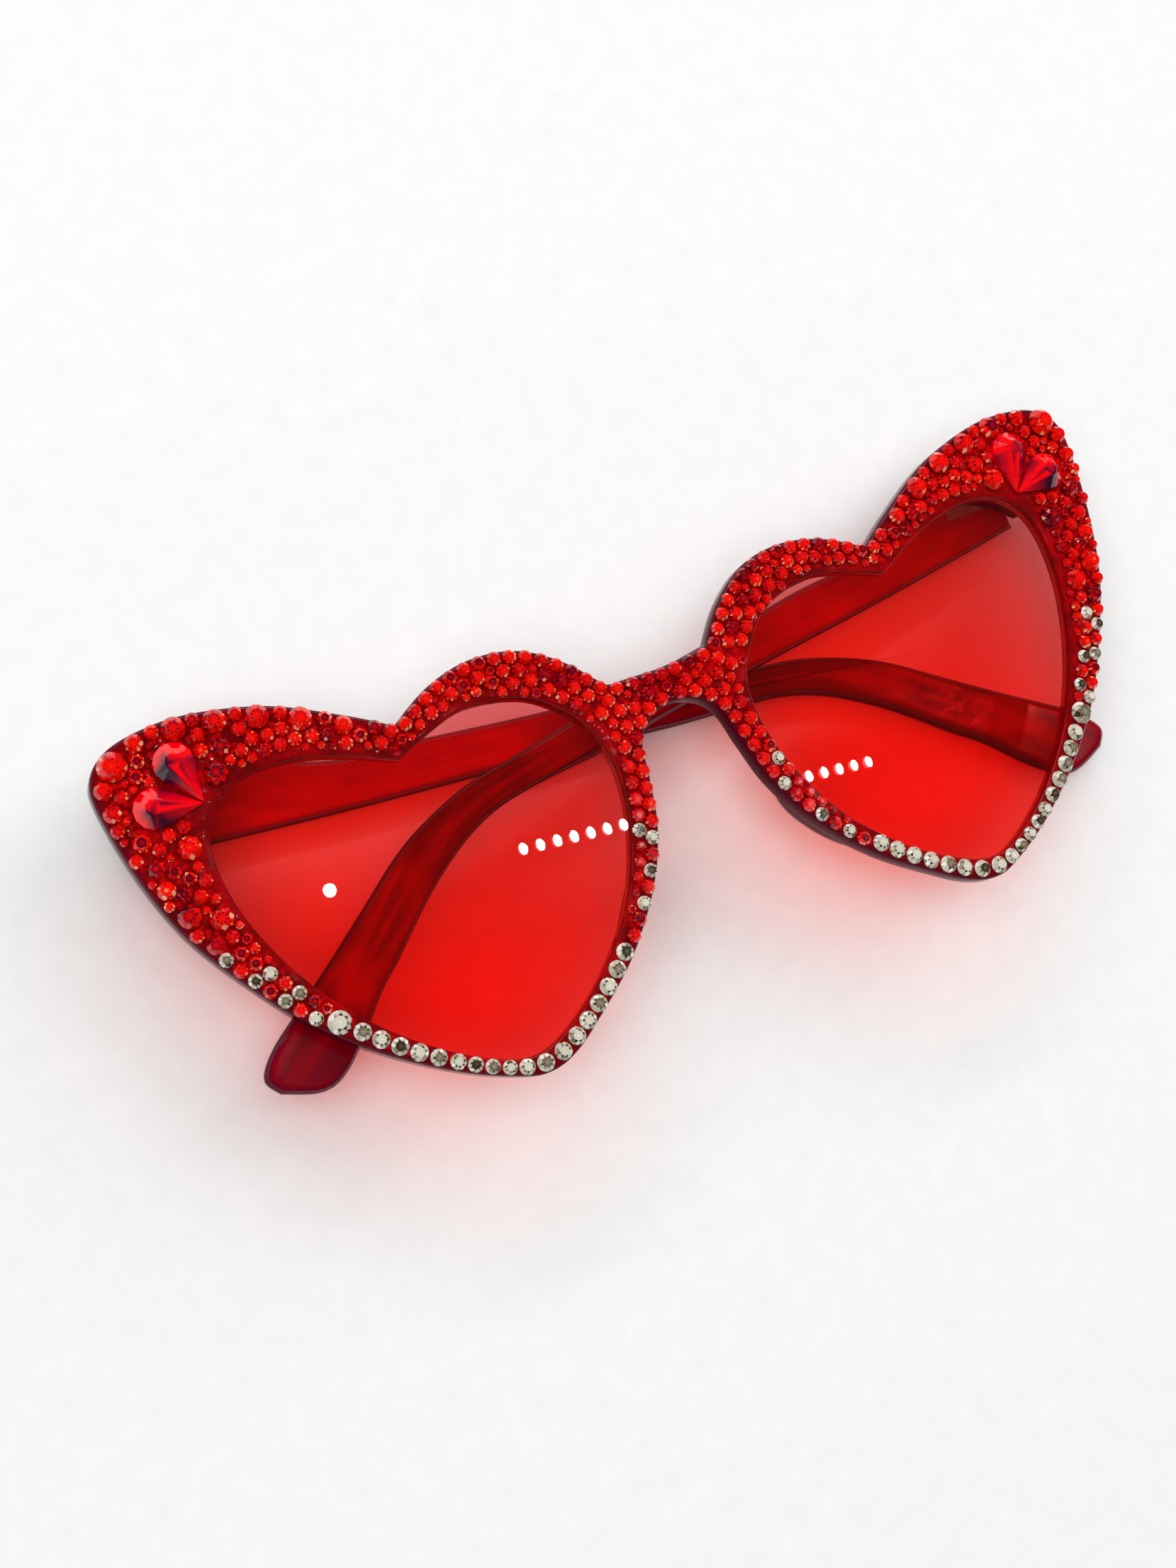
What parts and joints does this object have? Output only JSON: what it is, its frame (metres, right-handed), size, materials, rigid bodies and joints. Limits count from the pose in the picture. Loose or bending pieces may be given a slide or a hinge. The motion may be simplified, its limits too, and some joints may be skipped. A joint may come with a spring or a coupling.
{
  "type": "heart shaped sunglasses",
  "caption": "Folding heart shaped sunglasses: stone-set red cat-eye front, red tinted lenses and hinged hooked temples, lying folded face up.",
  "frame": {"origin": "middle of the width and height of the front, on the table that the folded glasses lie on", "axes": "+X across the front towards the wearer's left, +Y up as worn, +Z out of the lenses, away from the wearer"},
  "size_m": [0.15, 0.0606, 0.0216],
  "materials": {
    "frame_plastic": "glossy translucent red",
    "lens_tint": "clear red tint, polished",
    "temple_plastic": "glossy translucent dark red",
    "hinge_metal": "plated, satin",
    "screw_steel": "bright",
    "rivet_metal": "satin",
    "pear_stone": "faceted, backed",
    "red_stone": "faceted, backed",
    "clear_stone": "faceted, foil backed"
  },
  "bodies": {
    "front": {"front_frame": "frame_plastic", "left_lens": "lens_tint", "right_lens": "lens_tint", "left_front_leaf": "hinge_metal", "right_front_leaf": "hinge_metal", "left_hinge_screw": "screw_steel", "right_hinge_screw": "screw_steel", "left_front_rivets": "rivet_metal", "right_front_rivets": "rivet_metal", "left_pear_stones": "pear_stone", "right_pear_stones": "pear_stone", "left_large_stones": "red_stone", "right_large_stones": "red_stone", "left_small_stones": "red_stone", "right_small_stones": "red_stone", "left_clear_stones": "clear_stone", "right_clear_stones": "clear_stone"},
    "left_temple": {"left_temple": "temple_plastic", "left_temple_leaf": "hinge_metal", "left_temple_rivets": "rivet_metal"},
    "right_temple": {"right_temple": "temple_plastic", "right_temple_leaf": "hinge_metal", "right_temple_rivets": "rivet_metal"}
  },
  "joints": [
    {"name": "left_temple_hinge", "type": "hinge", "parent": "front", "child": "left_temple", "pos_m": [0.0675, 0.0226, 0.0055], "axis": [0, -1, 0], "range_deg": [0, 94.2]},
    {"name": "right_temple_hinge", "type": "hinge", "parent": "front", "child": "right_temple", "pos_m": [-0.0675, 0.0226, 0.0055], "axis": [0, 1, 0], "range_deg": [0, 90]}
  ]
}
